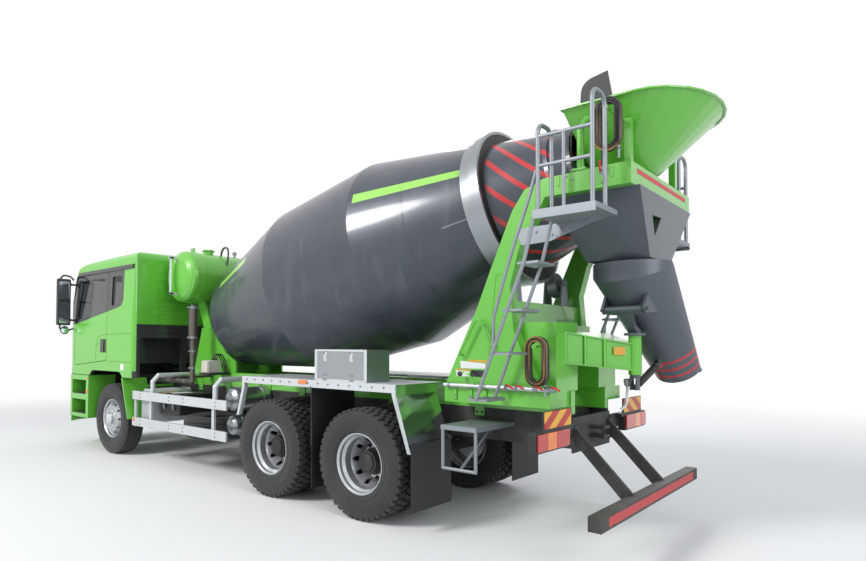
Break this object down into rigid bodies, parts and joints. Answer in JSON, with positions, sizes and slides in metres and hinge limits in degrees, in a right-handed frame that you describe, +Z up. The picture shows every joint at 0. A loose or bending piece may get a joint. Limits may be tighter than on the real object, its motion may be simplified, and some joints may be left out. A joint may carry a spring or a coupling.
{
  "type": "concrete mixer truck",
  "caption": "Truck with a tilted rotating drum, charging hopper, swinging chute, tilting cab, opening doors and steered, turning wheels.",
  "frame": {"origin": "on the floor, at the middle of the whole truck's length and width", "axes": "+X forward, +Y to the truck's left, +Z up"},
  "size_m": [9.734, 3, 3.9103],
  "materials": {
    "green_paint": "gloss",
    "black_chassis": "satin",
    "drum_paint": "gloss",
    "galvanised": "satin",
    "pale_metal": "satin",
    "tyre_rubber": "matte",
    "rim_silver": "satin",
    "tinted_glass": "gloss",
    "black_plastic": "matte",
    "cab_lining": "matte",
    "lamp_red": "gloss",
    "cast_steel": "matte",
    "bright_rod": "polished",
    "box_aluminium": "satin",
    "flap_rubber": "matte"
  },
  "bodies": {
    "chassis": {"chassis_frame": "black_chassis", "leaf_springs": "black_chassis", "front_axle": "black_chassis", "rear_axles": "black_chassis", "driveline": "cast_steel", "front_bumper": "green_paint", "side_guards": "pale_metal", "air_tanks": "galvanised", "battery_box": "box_aluminium", "fuel_tank": "box_aluminium", "spare_wheel": "tyre_rubber", "rear_fenders": "pale_metal", "mud_flaps": "flap_rubber", "toolbox": "box_aluminium", "subframe": "green_paint", "drum_drive": "black_chassis", "drum_rollers": "cast_steel", "water_tank": "green_paint", "exhaust": "galvanised", "rear_pedestal": "green_paint", "charging_hopper": "green_paint", "discharge_hopper": "drum_paint", "ladder_platforms": "galvanised", "chute_arm": "green_paint", "lamps": "lamp_red", "underrun_guard": "black_chassis", "water_pipes": "pale_metal", "splash_plate": "drum_paint", "hose_coils": "flap_rubber"},
    "cab": {"cab_shell": "green_paint", "cab_glass": "tinted_glass", "cab_trim": "black_plastic", "cab_interior": "cab_lining"},
    "left_door": {"door_left": "green_paint", "door_glass_left": "tinted_glass"},
    "right_door": {"door_right": "green_paint", "door_glass_right": "tinted_glass"},
    "left_steering": {"knuckle_left": "black_chassis"},
    "right_steering": {"knuckle_right": "black_chassis"},
    "front_left_wheel": {"tyre_front_left": "tyre_rubber", "rim_front_left": "rim_silver"},
    "front_right_wheel": {"tyre_front_right": "tyre_rubber", "rim_front_right": "rim_silver"},
    "mid_left_wheels": {"tyres_mid_left": "tyre_rubber", "rims_mid_left": "rim_silver"},
    "mid_right_wheels": {"tyres_mid_right": "tyre_rubber", "rims_mid_right": "rim_silver"},
    "rear_left_wheels": {"tyres_rear_left": "tyre_rubber", "rims_rear_left": "rim_silver"},
    "rear_right_wheels": {"tyres_rear_right": "tyre_rubber", "rims_rear_right": "rim_silver"},
    "drum": {"drum_shell": "drum_paint", "drum_mouth": "drum_paint", "track_ring": "black_chassis"},
    "swivel": {"chute_swivel": "drum_paint"},
    "main_chute": {"chute": "drum_paint"},
    "fold_chute": {"chute_extension": "drum_paint"},
    "barrel": {"jack_barrel": "black_chassis"},
    "rod": {"jack_rod": "bright_rod"},
    "box_flap": {"toolbox_flap": "box_aluminium"}
  },
  "joints": [
    {"name": "cab_tilt", "type": "hinge", "parent": "chassis", "child": "cab", "pos_m": [4.76, 0, 0.8], "axis": [0, 1, 0], "range_deg": [0, 50]},
    {"name": "left_door_swing", "type": "hinge", "parent": "cab", "child": "left_door", "pos_m": [4.556, 1.243, 1.6], "axis": [0, 0, -1], "range_deg": [0, 70]},
    {"name": "right_door_swing", "type": "hinge", "parent": "cab", "child": "right_door", "pos_m": [4.556, -1.243, 1.6], "axis": [0, 0, 1], "range_deg": [0, 70]},
    {"name": "left_steer", "type": "hinge", "parent": "chassis", "child": "left_steering", "pos_m": [3.36, 0.87, 0.5425], "axis": [0, 0, 1], "range_deg": [-35, 35]},
    {"name": "right_steer", "type": "hinge", "parent": "chassis", "child": "right_steering", "pos_m": [3.36, -0.87, 0.5425], "axis": [0, 0, 1], "range_deg": [-35, 35]},
    {"name": "front_left_spin", "type": "hinge", "parent": "left_steering", "child": "front_left_wheel", "pos_m": [3.36, 1.03, 0.5425], "axis": [0, 1, 0], "continuous": true},
    {"name": "front_right_spin", "type": "hinge", "parent": "right_steering", "child": "front_right_wheel", "pos_m": [3.36, -1.03, 0.5425], "axis": [0, 1, 0], "continuous": true},
    {"name": "mid_left_spin", "type": "hinge", "parent": "chassis", "child": "mid_left_wheels", "pos_m": [-0.59, 0.925, 0.5425], "axis": [0, 1, 0], "continuous": true},
    {"name": "mid_right_spin", "type": "hinge", "parent": "chassis", "child": "mid_right_wheels", "pos_m": [-0.59, -0.925, 0.5425], "axis": [0, 1, 0], "continuous": true},
    {"name": "rear_left_spin", "type": "hinge", "parent": "chassis", "child": "rear_left_wheels", "pos_m": [-1.965, 0.925, 0.5425], "axis": [0, 1, 0], "continuous": true},
    {"name": "rear_right_spin", "type": "hinge", "parent": "chassis", "child": "rear_right_wheels", "pos_m": [-1.965, -0.925, 0.5425], "axis": [0, 1, 0], "continuous": true},
    {"name": "drum_spin", "type": "hinge", "parent": "chassis", "child": "drum", "pos_m": [-0.26426, 0, 2.4612], "axis": [-0.9751, 0, 0.2215], "continuous": true},
    {"name": "chute_swing", "type": "hinge", "parent": "chassis", "child": "swivel", "pos_m": [-4.16, 0, 1.6], "axis": [0, 0, -1], "range_deg": [-11.5, 168.5]},
    {"name": "chute_tilt", "type": "hinge", "parent": "swivel", "child": "main_chute", "pos_m": [-4.12687, 0.16282, 2.01589], "axis": [-0.9799, 0.1994, 0], "range_deg": [0, 25]},
    {"name": "chute_fold", "type": "hinge", "parent": "main_chute", "child": "fold_chute", "pos_m": [-4.31394, -0.75662, 1.48212], "axis": [0.9799, -0.1994, 0], "range_deg": [0, 180]},
    {"name": "jack_swing", "type": "hinge", "parent": "swivel", "child": "barrel", "pos_m": [-4.16, 0, 1.335], "axis": [-0.9799, 0.1994, 0], "range_deg": [0, 14.53]},
    {"name": "jack_slide", "type": "slide", "parent": "barrel", "child": "rod", "axis": [-0.1775, -0.8725, 0.4553], "range_m": [0, 0.2887]},
    {"name": "flap_drop", "type": "hinge", "parent": "chassis", "child": "box_flap", "pos_m": [-1.685, 1.1875, 1.3655], "axis": [-1, 0, 0], "range_deg": [0, 90]}
  ],
  "couplings": [
    {"joint": "right_steer", "follows": "left_steer", "ratio": 1},
    {"joint": "jack_swing", "follows": "chute_tilt", "ratio": 0.56111},
    {"joint": "jack_slide", "follows": "chute_tilt", "m_per_rad": 0.65479}
  ]
}
